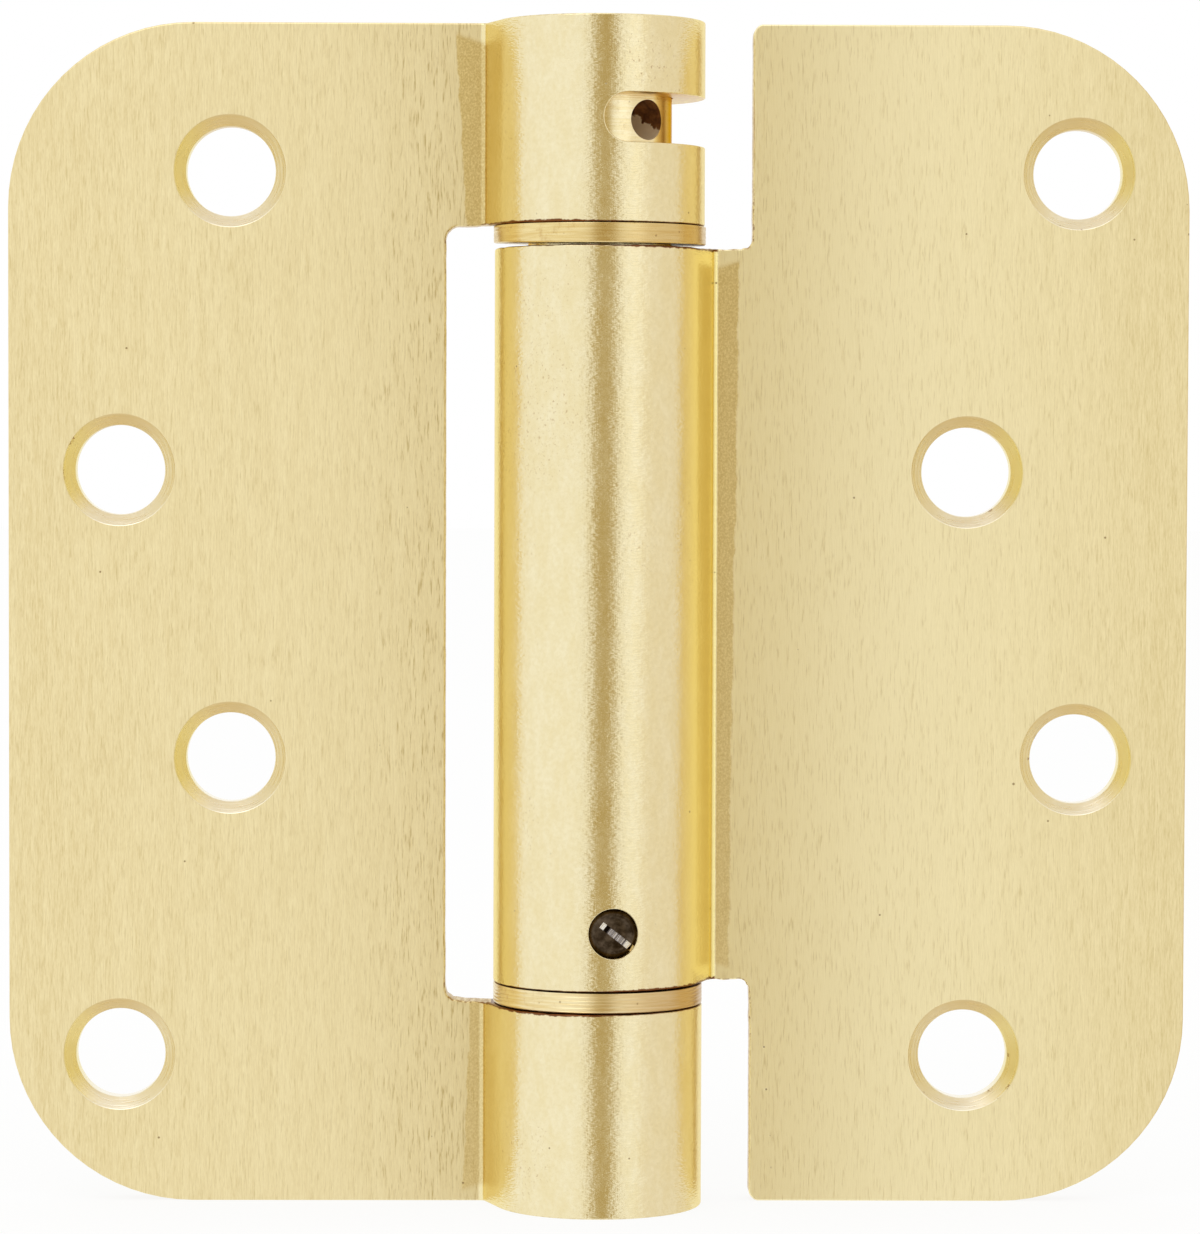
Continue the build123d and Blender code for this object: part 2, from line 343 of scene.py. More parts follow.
END_WEAR = 2.4             # how much rounder than a leaf's edge the barrel's filed ends are


def end_wear(point):
    """How many times its usual width the rounding of the front edge has at a point."""
    on_barrel = SEAM_S + SEAM_LAND < point.x < BEND_END
    return END_WEAR if abs(point.y) > TALL - 1 and on_barrel else 1


LONGEST_RUN = 0.8          # between an outline's points where it can be ragged


def divided(points):
    """An outline with extra points on its long straight runs, from the leaf's cut edge inward."""
    out = []
    for at, point in enumerate(points):
        ahead = points[(at + 1) % len(points)]
        count = 1
        if max(point.x, ahead.x) < CUT_X + 1.5:
            count = max(1, math.ceil((ahead - point).length / LONGEST_RUN))
        out += [point.lerp(ahead, number / count) for number in range(count)]
    return out


def meshed(name, bm, materials):
    """A mesh from a bmesh, which is spent."""
    mesh = bpy.data.meshes.new(name)
    bm.to_mesh(mesh)
    bm.free()
    for material in materials:
        mesh.materials.append(material)
    return mesh


MOST_TIP = 0.9             # share of a right angle at which the front rounding's normals stop


def rolled_leaf(name, outline, openings, side, materials):
    """A leaf with its knuckles: the blank is cut and its edges rounded, then the tongues rolled.
    openings are (outline, edge profile). side is the leaf's sign along X. Each point keeps the way
    it faces, and as the attribute turning its direction from its opening's middle and its depth."""
    bm = bmesh.new()
    lie = bm.verts.layers.float_vector.new("lie")
    turning = bm.verts.layers.float_vector.new("turning")
    rings = [(outline, edge_profile(FACE_BREAK, BACK_BREAK), 1)]
    rings += [(points, profile, -1) for points, profile in openings]
    fronts, backs = [], []
    for points, profile, inward in rings:
        middle = sum(points, Vector((0, 0))) / len(points)
        rows = []
        for inset, depth, lean, _ in profile:
            row = []
            for at, point in enumerate(points):
                along = points[(at + 1) % len(points)] - points[at - 1]
                into = Vector((-along.y, along.x)).normalized() * inward
                worn = end_wear(point) if depth < SHEET / 2 and inward > 0 else 1
                place = point + into * inset * worn
                vert = bm.verts.new((place.x, depth * worn, place.y))
                tip = (min(lean, MOST_TIP) if depth < SHEET / 2 else lean) * math.pi / 2
                vert[lie] = (-into.x * math.sin(tip), -math.cos(tip), -into.y * math.sin(tip))
                spoke = (point - middle).normalized()
                vert[turning] = (spoke.x, spoke.y, depth)
                row.append(vert)
            rows.append(row)
        for upper, lower, (_, _, _, kind) in zip(rows, rows[1:], profile):
            for at in range(len(points)):
                after = (at + 1) % len(points)
                face = bm.faces.new((upper[at], upper[after], lower[after], lower[at]))
                face.material_index = kind
        for row, store in ((rows[0], fronts), (rows[-1], backs)):
            for at, vert in enumerate(row):
                store.append(bm.edges.get((vert, row[(at + 1) % len(row)])))
    for edges in (fronts, backs):
        bmesh.ops.triangle_fill(bm, edges=edges, use_beauty=True, use_dissolve=False)
    cuts = [BEND_X - BEND_LENGTH * number / 10 for number in range(11)]
    cuts += [BARREL_START + STRAIGHT * number / 4 for number in range(4)]
    strips = round(math.degrees(ROLL_TURN) / ROLL_STEP)
    cuts += [BARREL_START + (SEAM_S - BARREL_START) * n / strips for n in range(1, strips)]
    for s in cuts:
        blank = bm.verts[:] + bm.edges[:] + bm.faces[:]
        plane = {"plane_co": (s, 0, 0), "plane_no": (1, 0, 0)}
        bmesh.ops.bisect_plane(bm, geom=blank, dist=1e-5, **plane)
    bmesh.ops.dissolve_degenerate(bm, dist=1e-4, edges=bm.edges)     # slivers that a cut left
    bmesh.ops.recalc_face_normals(bm, faces=bm.faces)
    for vert in bm.verts:
        place, down, along = on_sheet(vert.co.x, vert.co.y)
        flat = vert[lie]
        faces = down * flat.y + along * flat.x
        vert[lie] = Vector((side * faces.x, faces.y, flat.z)).normalized()
        vert.co = Vector((side * place.x, place.y, vert.co.z)) * MM
    if bm.calc_volume(signed=True) < 0:
        bmesh.ops.reverse_faces(bm, faces=bm.faces)
    normals = [vert[lie].copy() for vert in bm.verts]
    mesh = meshed(name, bm, materials)
    mesh.shade_smooth()
    mesh.normals_split_custom_set_from_vertices(normals)
    return placed(name, mesh)


def finish(name):
    """A new material: its empty tree, and its object coordinates in millimetres."""
    material = bpy.data.materials.new(name)
    tree = started(material)
    where = add(tree, "ShaderNodeTexCoord", out="Object")
    return material, tree, add(tree, "ShaderNodeMapping", {"Vector": where, "Scale": (1000,) * 3})


def speckle(tree, place, scale, detail=2.0, low=0.35, high=0.65, rough=0.5):
    """Noise over a place stretched by scale, opened up to run from 0 to 1."""
    stretched = add(tree, "ShaderNodeMapping", {"Vector": place, "Scale": scale})
    made_of = {"Vector": stretched, "Scale": 1.0, "Detail": detail, "Roughness": rough}
    grain = add(tree, "ShaderNodeTexNoise", made_of)
    return add(tree, RANGE, grain, low, high, **EASED)


def coated(tree, base, *coats):
    """A base with colours laid over it in turn, each as its share and its sRGB hex."""
    for share, code in coats:
        base = add(tree, MIX, {0: share, 6: base, 7: colour(code)}, **BLEND)
    return base


def pores(tree, place, spacing, size, share):
    """Scattered round pits: about one to a cell of the spacing, of which a share is there. The
    spacing and the size are in the place's own units."""
    made_of = {"Vector": place, "Scale": 1 / spacing}
    cells = add(tree, "ShaderNodeTexVoronoi", made_of, out="all")
    chance = add(tree, "ShaderNodeSeparateColor", cells["Color"])
    pit = add(tree, RANGE, cells["Distance"], size / spacing, size / spacing / 2, **EASED)
    there = add(tree, RANGE, chance, share, share + 0.02, 1.0, 0.0)
    return add(tree, MATH, pit, there, **TIMES)


def metal(tree, base, rough, relief, depth, coat=0.0, edge="FFFFFF"):
    """Finishes a material as bare or lacquered metal. depth is the relief's height in metres, and
    edge its tint where it is seen aslant."""
    bump = add(tree, "ShaderNodeBump", {"Height": relief, "Distance": depth, "Strength": 1.0})
    sockets = {"Base Color": base, "Metallic": 1.0, "Roughness": rough, "Normal": bump}
    lacquer = {"Coat Weight": coat, "Coat Roughness": 0.25, "Specular Tint": colour(edge)}
    shader = add(tree, "ShaderNodeBsdfPrincipled", {**sockets, **lacquer})
    add(tree, "ShaderNodeOutputMaterial", shader)


HANDLED = (-7.0, -5.6, 18.0)           # middle of the barrel's most handled patch
ROLL_REACH = 10.2          # radius within which the plate has the barrel's finish
NECK_Z = 32.4              # |z| of the middle of the gap at the neck


def satin_brass(name, light, dark, pale, dashed, band, inner, ends, side_reflection_share, gap_shade):
    """Satin brass plate on brushed steel under clear lacquer. Fine grain runs along the leaf in
    light and dark dashes. The wheel never reached beside the bend, where a dull, sandy band is
    left. The barrel was tumbled, so it is smooth with a fine orange peel, and a painted yellow
    reflection lies along its sides. pale is how much lighter the leaf is painted towards the
    barrel, painted light against the darker reflections there, and dashed how strong its dashes
    are there. band gives the |x| where the dull band ends, and by how much that grows with |z| and
    with z; inner is how far from the bend it begins and is whole, and ends are the |z| between
    which it lies. yellowed is how strong the painted yellow reflection is. caked gives the |z| of
    the end beside a ring and the x between which the painted shade of the gap there grows wider."""
    material, tree, place = finish(name)
    across, depth, up = add(tree, SPLIT, place, out="all")
    across = add(tree, MATH, across, operation="ABSOLUTE")
    height = add(tree, MATH, up, operation="ABSOLUTE")
    flat = add(tree, "ShaderNodeMapping", {"Vector": place, "Scale": (1, 1, 0)})
    radius = add(tree, VECTORS, flat, operation="LENGTH", out="Value")
    round_part = add(tree, RANGE, radius, ROLL_REACH + 0.1, ROLL_REACH - 0.1, **EASED)

    # grain 0.1 mm wide and 1 to 2 mm long, over broader and fainter marks of the wheel
    grain = speckle(tree, place, (9.0, 1.5, 0.62), 3.0, 0.3, 0.7, 0.65)
    wheel = speckle(tree, place, (1.3, 0.3, 0.1), 3.0, 0.3, 0.7, 0.6)
    fine = speckle(tree, place, (14.0, 4.0, 2.4), 2.0, 0.3, 0.72)
    tone = add(tree, MATH, wheel, 0.2, **TIMES)
    tone = add(tree, MATH, grain, 0.54, tone, **TIMES_PLUS)
    tone = add(tree, MATH, fine, 0.26, tone, **TIMES_PLUS)
    # painted light: the leaf is lifted towards pale cream near the barrel, against the darker
    # reflections there
    towards = add(tree, RANGE, across, 48.0, 13.0, 0.0, pale)
    dash = speckle(tree, place, (7.0, 0.8, 0.65), 3.0, 0.5, 0.78, 0.6)
    near = add(tree, RANGE, across, 21.5, 14.5, 0.36, dashed, **EASED)
    dash = add(tree, MATH, dash, near, **TIMES)
    face = coated(tree, colour(dark), (tone, light), (towards, "FFF4C8"), (dash, "BCA262"))

    # the dull band, sandy, with a ragged outer edge
    limit, by_height, by_side = band
    wide = add(tree, MATH, height, by_height, limit, **TIMES_PLUS)
    wide = add(tree, MATH, up, by_side, wide, **TIMES_PLUS)
    ripple = speckle(tree, place, (0.8, 0.8, 0.5), 4.0, 0.2, 0.8, 0.7)
    inside = add(tree, MATH, wide, across, operation="SUBTRACT")
    inside = add(tree, MATH, ripple, 0.35, inside, **TIMES_PLUS)
    dull = add(tree, RANGE, inside, 0.1, 0.3, **EASED)
    begun = add(tree, RANGE, across, BEND_X + inner[0], BEND_X + inner[1], **EASED)
    taper = add(tree, MATH, inside, 0.35, height, **TIMES_PLUS)
    below = add(tree, RANGE, taper, ends[1] + 0.2, ends[1] - 0.5, **EASED)
    above = add(tree, RANGE, height, ends[0], ends[0] + 0.7, **EASED)
    front = add(tree, RANGE, depth, 2 * FACE_Y, 1.5 * FACE_Y, **EASED)
    for share in (begun, below, above, front):
        dull = add(tree, MATH, dull, share, **TIMES)
    sand = speckle(tree, place, (6.5, 6.5, 5.0), 4.0, 0.35, 0.75, 0.7)
    tan = add(tree, MIX, {0: sand, 6: colour("CFB573"), 7: colour("EDD99C")}, **BLEND)
    cover = add(tree, RANGE, up, -45.0, 45.0, 0.68, 1.0)
    cover = add(tree, MATH, dull, cover, **TIMES)

    # the barrel, faintly clouded and with a painted yellow reflection at its sides, with brown
    # handling marks in patches
    cloud = speckle(tree, place, (0.6, 0.6, 0.25), 5.0, 0.3, 0.7, 0.7)
    mottle = speckle(tree, place, (2.4, 2.4, 2.4), 3.0, 0.3, 0.7)
    mottle = add(tree, MATH, mottle, 0.2, **TIMES)
    # painted reflection: the barrel's sides are tinted yellow where they turn away and reflect the
    # leaves
    yellow = add(tree, RANGE, across, 6.8, 8.8, **EASED)
    yellow = add(tree, MATH, yellow, side_reflection_share, **TIMES)
    where = speckle(tree, place, (0.12, 0.12, 0.07), 2.0, 0.56, 0.68)
    apart = {"operation": "DISTANCE", "out": "Value"}
    gone = add(tree, VECTORS, place, HANDLED, **apart)
    worst = add(tree, RANGE, gone, 9.5, 4.0, **EASED)
    where = add(tree, MATH, where, worst, operation="MAXIMUM")
    marks = speckle(tree, place, (4.0, 4.0, 3.0), 4.0, 0.57, 0.7, 0.75)
    marks = add(tree, MATH, marks, where, **TIMES)
    marks = add(tree, MATH, marks, 0.6, **TIMES)
    skin = coated(tree, colour("F0E2B4"), (cloud, "F5EAC3"), (mottle, "DECA92"))
    skin = coated(tree, skin, (yellow, "F8E99E"), (marks, "9C682C"))
    base = add(tree, MIX, {0: round_part, 6: face, 7: skin}, **BLEND)
    base = add(tree, MIX, {0: cover, 6: base, 7: tan}, **BLEND)

    # pits and specks of dirt, 0.1 to 0.2 mm across and well apart
    pit = pores(tree, place, 2.4, 0.12, 0.28)
    dirt = pores(tree, place, 7.0, 0.17, 0.3)
    spots = add(tree, MATH, pit, dirt, operation="MAXIMUM")
    shade = add(tree, MATH, spots, 0.7, **TIMES)

    # brown dirt and rust that hold on the ragged edges by the barrel, most at the neck
    edge = add(tree, "ShaderNodeAttribute", attribute_name="turning", out="Vector")
    _, _, sunk = add(tree, SPLIT, edge, out="all")
    edge = add(tree, RANGE, sunk, 0.0, 0.03, **EASED)
    shallow = add(tree, RANGE, sunk, 1.5, 1.0)
    close = add(tree, RANGE, across, CUT_X + 1.5, CUT_X, **EASED)
    rust = speckle(tree, place, (1.6, 1.6, 1.6), 4.0, 0.46, 0.6, 0.7)
    from_neck = add(tree, MATH, height, NECK_Z, operation="SUBTRACT")
    from_neck = add(tree, MATH, from_neck, operation="ABSOLUTE")
    hold = add(tree, RANGE, from_neck, 3.0, 5.0, 0.8, 0.22)
    for share in (shallow, close, rust, hold):
        edge = add(tree, MATH, edge, share, **TIMES)

    # painted shade of the gaps beside the bearing rings: dark brown along the barrel's ends, broken
    # up by noise and wider towards one side
    end, *growing = gap_shade
    gap_shade_breakup = speckle(tree, place, (1.5, 1.5, 1.5), 4.0, 0.3, 0.7, 0.7)
    gap_shade_breakup = add(tree, MATH, gap_shade_breakup, 0.8, 0.5, **TIMES_PLUS)
    east = add(tree, SPLIT, place)
    reach = add(tree, RANGE, east, *growing, 0.03, 0.17, **EASED)
    reach = add(tree, MATH, reach, gap_shade_breakup, **TIMES)
    away = add(tree, MATH, height, end, operation="SUBTRACT")
    away = add(tree, MATH, away, operation="ABSOLUTE")
    away = add(tree, MATH, away, reach, operation="SUBTRACT")
    painted_gap_shade = add(tree, RANGE, away, 0.1, 0.0, **EASED)
    painted_gap_shade = add(tree, MATH, painted_gap_shade, round_part, **TIMES)
    painted_gap_shade = add(tree, MATH, painted_gap_shade, 0.96, **TIMES)
    # pits and dirt, rust on the edges, and last the painted shade of the ring gaps
    base = coated(tree, base, (shade, "6E4A1E"), (edge, "8E5E28"), (painted_gap_shade, "713808"))

    satin = add(tree, MATH, grain, 0.06, 0.3, **TIMES_PLUS)
    satin = add(tree, MATH, dull, 0.16, satin, **TIMES_PLUS)
    smooth = add(tree, MATH, cloud, 0.05, 0.2, **TIMES_PLUS)
    rough = add(tree, MIX, {0: round_part, 2: satin, 3: smooth}, data_type="FLOAT")
    peel = speckle(tree, place, (1.8, 1.8, 7.0), 1.5, 0.1, 0.9, 0.6)
    wave = speckle(tree, place, (0.45, 0.45, 0.22), 2.0, 0.1, 0.9)
    peel = add(tree, MATH, wave, 0.5, peel, **TIMES_PLUS)
    peel = add(tree, MATH, peel, round_part, **TIMES)
    relief = add(tree, MATH, grain, 0.09, peel, **TIMES_PLUS)
    relief = add(tree, MATH, spots, -0.6, relief, **TIMES_PLUS)
    metal(tree, base, rough, relief, 0.000024, 0.12, "FDF2CC")
    return material


def sheared_brass():
    """Plated cut edge. The punch leaves it streaked through the sheet, duller and browner. Where it
    faces a bearing ring it is painted dark, a painted shade of the gap."""
    material, tree, place = finish("sheared_satin_brass")
    streaks = speckle(tree, place, (3.2, 0.5, 3.2), 4.0, 0.3, 0.7, 0.7)
    east, _, up = add(tree, SPLIT, place, out="all")
    # painted shade of the gap: the knuckles' end walls beside the bearing rings are darkened
    beside_ring = add(tree, MATH, up, operation="ABSOLUTE")
    beside_ring = add(tree, MATH, beside_ring, NECK_Z + 0.1, 1.3, operation="COMPARE")
    barrel = add(tree, MATH, east, 0.0, BARREL_R + 0.2, operation="COMPARE")
    painted_end_shade = add(tree, MATH, beside_ring, barrel, **TIMES)
    painted_end_shade = add(tree, MATH, painted_end_shade, 0.85, **TIMES)
    base = coated(tree, colour("B8944E"), (streaks, "E2CC92"), (painted_end_shade, "6E3C10"))
    rough = add(tree, MATH, streaks, -0.12, 0.46, **TIMES_PLUS)
    metal(tree, base, rough, streaks, 0.000012, 0.4)
    return material


def sunk_brass():
    """Plated countersink. The cutter leaves rings a tenth of a millimetre apart in a bright cone.
    Its colour holds painted reflections by the way each part faces: yellow on the side away from
    the barrel, tan painted shade at the top and a pale painted highlight at the foot. Dirt stays
    in the nicks along the two rims."""
    material, tree, _ = finish("countersunk_satin_brass")
    turning = add(tree, "ShaderNodeAttribute", attribute_name="turning", out="Vector")
    outside, upward, depth = add(tree, SPLIT, turning, out="all")
    rings = speckle(tree, turning, (1.2, 1.2, 9.0), 2.0, 0.3, 0.7)
    # painted reflections by the way the cone faces: yellow on the outer side, tan painted shade at
    # the top, and at the foot the palest colour, a painted highlight
    outer_reflection = add(tree, RANGE, outside, 0.1, 0.75, **EASED)
    tan = add(tree, RANGE, upward, 0.35, 1.3, **EASED)
    bare = add(tree, RANGE, upward, -0.3, -1.0, **EASED)
    where = add(tree, "ShaderNodeTexCoord", out="Object")
    nicks = speckle(tree, where, (900,) * 3, 4.0, 0.6, 0.68, 0.7)
    rare = speckle(tree, where, (110,) * 3, 1.0, 0.55, 0.62)
    rim = add(tree, MATH, depth, SINK_DEPTH / 2, SINK_DEPTH / 2, operation="COMPARE")
    inner = add(tree, RANGE, depth, SINK_DEPTH * 0.7, SINK_DEPTH * 0.9, **EASED)
    outer = add(tree, RANGE, depth, SINK_DEPTH * 0.25, SINK_DEPTH * 0.1, **EASED)
    dirt = add(tree, MATH, inner, outer, operation="MAXIMUM")
    for share in (nicks, rare, rim, 0.85):
        dirt = add(tree, MATH, dirt, share, **TIMES)
    base = coated(tree, colour("E9DAAE"), (rings, "F4E9C6"), (outer_reflection, "F2E3A2"), (tan, "D4B878"))
    # the painted highlight at the foot, then dirt in the nicks
    base = coated(tree, base, (bare, "FBF5E2"), (dirt, "8A5320"))
    rough = add(tree, MATH, rings, 0.1, 0.26, **TIMES_PLUS)
    metal(tree, base, rough, rings, 0.000006, 0.4)
    return material


def milled_brass():
    """Plated wall of a milled slot or drilled hole, smoother than a sheared edge, with chatter."""
    material, tree, place = finish("milled_satin_brass")
    chatter = speckle(tree, place, (2.2, 0.6, 2.2), 3.0, 0.3, 0.7, 0.6)
    base = add(tree, MIX, {0: chatter, 6: colour("DCAF50"), 7: colour("F4D984")}, **BLEND)
    rough = add(tree, MATH, chatter, 0.1, 0.34, **TIMES_PLUS)
    metal(tree, base, rough, chatter, 0.000008, 0.4)
    return material


KNUCKLE_START = 33.4
SLOT_Z, SLOT_R = 42.2, 2.1
SLOT_FROM, SLOT_TO = 15.0, 150.0

cut_finishes = [sheared_brass(), sunk_brass(), milled_brass()]


def sinks(rows_near, rows_far):
    """A leaf's four screw holes as openings of its blank."""
    centres = [(NEAR_COLUMN, z) for z in rows_near] + [(FAR_COLUMN, z) for z in rows_far]
    return [(long_round(s, s, z, HOLE_R, 72), sink_profile()) for s, z in centres]


def slot_s(angle):
    """A place on the frame leaf's barrel, from its angle from the front towards the door leaf."""
    return BARREL_START - BARREL_R * (math.pi / 2 - LIFT + math.radians(angle))


def whole(top_half):
    """A leaf's worn outline from the corners of its top half, which the bottom half mirrors."""
    bottom_half = [(s, -z, radius) for s, z, radius in reversed(top_half)]
    return ragged(divided(rounded(top_half + bottom_half)))


NECK_RUN = 0.6             # how far past the bend the neck's shape still reaches
frame_corners = [
    (REACH, TALL, OUTER_CORNER),
    (SEAM_S, TALL, 0.6),
    (SEAM_S, KNUCKLE_START, 0.4),
    (BEND_END - NECK_RUN, KNUCKLE_START, 1.5),
    (BEND_END, KNUCKLE_START + 0.15, 1.5),
    (CUT_X, KNUCKLE_START - 0.05, 1.1),
]
slot_outline = long_round(slot_s(SLOT_FROM), slot_s(SLOT_TO), SLOT_Z, SLOT_R, 40)
frame_openings = sinks((OUTER_ROW, -INNER_ROW), (INNER_ROW, -OUTER_ROW))
frame_openings.append((slot_outline, edge_profile(0.1, BACK_BREAK, MILLED)))
frame_brass = satin_brass(
    "satin_brass_frame",
    light="F5E6B6",
    dark="E0CC95",
    pale=0.25,
    dashed=0.85,
    band=(9.75, 0.045, 0.0076),
    inner=(-0.7, -0.25),
    ends=(33.0, 50.1),
    side_reflection_share=0.25,
    gap_shade=(KNUCKLE_START, 4.0, -4.0),
)
frame_leaf = rolled_leaf(
    "frame_leaf_plate",
    whole(frame_corners),
    frame_openings,
    -1,
    [frame_brass, *cut_finishes],
)
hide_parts("frame_leaf")
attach(frame_leaf, "frame")

# Door leaf. The other stamped and brushed leaf, whose one long tongue is rolled into the centre
# knuckle, the spring's barrel. A hole is tapped through its foot for the set screw.

CENTRE_HALF = 31.5
END_FALL = 0.1             # by how much the centre knuckle's top end falls away at the sides
GRUB_Z, GRUB_ANGLE, GRUB_HOLE_R = -26.57, 8.0, 2.13

door_corners = [
    (REACH, TALL, OUTER_CORNER),
    (CUT_X, TALL, 0.9),
    (CUT_X, CENTRE_HALF, 1.1),
    (BEND_END, CENTRE_HALF + 0.02, 1.5),
    (BEND_END - NECK_RUN, CENTRE_HALF, 1.5),
    (SEAM_S, CENTRE_HALF, 0.4),
]
door_outline = whole(door_corners)
for point in door_outline:
    share = max(0, min(1, (point.y - CENTRE_HALF + 3) / 3, (BEND_X - 0.8 - point.x) / 4))
    point.y -= END_FALL * share * (1 - math.cos((point.x - slot_s(0)) / BARREL_R))
grub_s = BARREL_START - BARREL_R * (math.pi / 2 - LIFT - math.radians(GRUB_ANGLE))
grub_outline = long_round(grub_s, grub_s, GRUB_Z, GRUB_HOLE_R, 48)
door_openings = sinks((INNER_ROW, -OUTER_ROW), (OUTER_ROW, -INNER_ROW))
door_openings.append((grub_outline, edge_profile(0.08, BACK_BREAK, MILLED)))
door_brass = satin_brass(
    "satin_brass_door",
    light="F2E2B1",
    dark="DDCA92",
    pale=1.0,
    dashed=0.4,
    band=(11.69, 0.0, 0.0116),
    inner=(-0.05, 0.12),
    ends=(-1.0, 30.8),
    side_reflection_share=0.85,
    gap_shade=(CENTRE_HALF, -2.0, 5.0),
)
door_leaf = rolled_leaf(
    "door_leaf_plate", door_outline, door_openings, 1, [door_brass, *cut_finishes]
)
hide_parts("door_leaf")
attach(door_leaf, "door")

# Bearing rings. Two brass washers turned from bar and parted off, which keep the knuckles from
# rubbing. The lower one still has the coarse grooves of the tool and lies a little askew.

RING_BORE_R = 6.26
RING_THICK = 1.7
UPPER_TOP, LOWER_TOP = 33.36, -31.6


def turned(name, profile, materials, steps=160, shape=None):
    """A closed profile of (radius, height) from the top down, spun round the barrel's axis. shape
    can move each point: it gets the radius, height and angle, and gives back the first two."""
    bm = bmesh.new()
    rows = []
    for radius, height in profile:
        if radius == 0:
            rows.append([bm.verts.new((0, 0, height * MM))])
            continue
        row = []
        for number in range(steps):
            angle = 2 * math.pi * number / steps
            r, z = shape(radius, height, angle) if shape else (radius, height)
            row.append(bm.verts.new((r * math.cos(angle) * MM, r * math.sin(angle) * MM, z * MM)))
        rows.append(row)
    pairs = list(zip(rows, rows[1:]))
    if profile[0][0] and profile[-1][0]:
        pairs.append((rows[-1], rows[0]))
    for upper, lower in pairs:
        for at in range(steps):
            after = (at + 1) % steps
            loop = [upper[at % len(upper)], lower[at % len(lower)]]
            loop += [lower[after % len(lower)], upper[after % len(upper)]]
            bm.faces.new(list(dict.fromkeys(loop)))
    bmesh.ops.recalc_face_normals(bm, faces=bm.faces)
    mesh = meshed(name, bm, materials)
    mesh.shade_smooth()
    mesh.set_sharp_from_angle(angle=math.radians(32))
    return placed(name, mesh)


def turned_brass(name, light, dark, stain, amount, rough_at, toward=None, edge="FFFFFF"):
    """Bare turned brass. Tool lines run round it, and handling has left brown stains and pores.
    toward gives the x between which the stain colour also comes on, and from what share to what:
    on the collar it is painted shade on the side that turns away, on the rings it darkens them
    towards +x."""
    material, tree, place = finish(name)
    lines = speckle(tree, place, (0.25, 0.25, 7.0), 3.0, 0.3, 0.7, 0.6)
    patch = speckle(tree, place, (0.75, 0.75, 0.6), 5.0, 0.52, 0.72, 0.75)
    cover = add(tree, MATH, patch, amount, **TIMES)
    if toward:
        east = add(tree, SPLIT, place)
        side = add(tree, RANGE, east, *toward, **EASED)
        cover = add(tree, MATH, cover, side, operation="MAXIMUM")
    pit = pores(tree, place, 1.1, 0.13, 0.8)
    shade = add(tree, MATH, pit, 0.5, **TIMES)
    base = coated(tree, colour(dark), (lines, light), (cover, stain), (shade, "7A4F1E"))
    rough = add(tree, MATH, patch, 0.12, rough_at, **TIMES_PLUS)
    metal(tree, base, rough, lines, 0.000005, edge=edge)
    return material


def ring_profile(rim_r, high, pitch, depth, corner):
    """A washer's section from its rim's radius and its top, with the rim grooved at a pitch."""
    low = high - RING_THICK
    rim = [(rim_r - corner, high), (rim_r - corner * 0.3, high - corner * 0.3)]
    count = round((high - low - 2 * corner) / pitch)
    step = (high - low - 2 * corner) / count
    for number in range(count):
        z = high - corner - number * step
        rim += [(rim_r - depth * 0.15, z), (rim_r, z - step * 0.3), (rim_r, z - step * 0.5)]
        rim += [(rim_r - depth, z - step * 0.8)]
    rim += [(rim_r - depth * 0.15, low + corner), (rim_r - corner, low)]
    bore = [(RING_BORE_R + 0.08, low), (RING_BORE_R, low + 0.08)]
    bore += [(RING_BORE_R, high - 0.08), (RING_BORE_R + 0.08, high)]
    return rim + bore


def askew(fall, top=0.0, worn=0.0):
    """Tips a ring so that it falls towards the door leaf. Below its top the ring may be worn
    thinner to the back, and more so on the frame leaf's side."""

    def shape(r, z, angle):
        rise = worn * (1 + math.sin(angle)) / 2 * (1 - 0.35 * math.cos(angle))
        return r, z - fall * r * math.cos(angle) / BARREL_R + rise * (top - z) / RING_THICK

    return shape


upper_brass = turned_brass(
    "turned_brass_upper", "F4E1A8", "E3C885", "B5853F", 0.35, 0.26, toward=(-6, 9, 0, 0.34)
)
upper_ring = turned(
    "upper_ring_turned",
    ring_profile(9.1, UPPER_TOP, 0.34, 0.015, 0.1),
    [upper_brass],
    shape=askew(0.01, UPPER_TOP, 0.38),
)
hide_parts("upper_bearing_ring")
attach(upper_ring, "frame")

lower_brass = turned_brass(
    "turned_brass_lower", "F9EBBE", "E9D298", "B07C38", 0.3, 0.28, toward=(-4, 9, 0, 0.55)
)
lower_ring = turned(
    "lower_ring_turned",
    ring_profile(9.0, LOWER_TOP, 0.29, 0.045, 0.08),
    [lower_brass],
    shape=askew(0.03),
)
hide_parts("lower_bearing_ring")
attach(lower_ring, "frame")

# Tension collar. A brass plug that turns in the top knuckle and winds the spring by a slot in its
# foot. A rod goes into one of its four cross-drilled mouths, which show through the wrench slot.

JOURNAL_R = 6.14
COLLAR_LOW, COLLAR_HIGH = 25.0, 47.8
ROD_HOLE_R, ROD_HOLE_Z, ROD_HOLE_FIRST = 1.71, 42.2, 40.6
TANG_WIDTH, TANG_DEPTH = 2.9, 3.4


def pin_profile(low, high, radius, chamfer):
    """A turned plug with chamfered ends and a small centre dimple in each."""
    points = [(0, high - 0.5), (0.6, high), (radius - chamfer, high), (radius, high - chamfer)]
    return points + [(radius, low + chamfer), (radius - chamfer, low), (0.6, low), (0, low + 0.5)]


def bar(centre, size, turn):
    """A box with its middle at centre and a turn, in millimetres, as a cutter."""
    bm = bmesh.new()
    bmesh.ops.create_cube(bm, size=1.0)
    stretch = Matrix.Diagonal((*(Vector(size) * MM), 1))
    place = Matrix.Translation(Vector(centre) * MM) @ turn.to_4x4() @ stretch
    bmesh.ops.transform(bm, matrix=place, verts=bm.verts)
    return bm


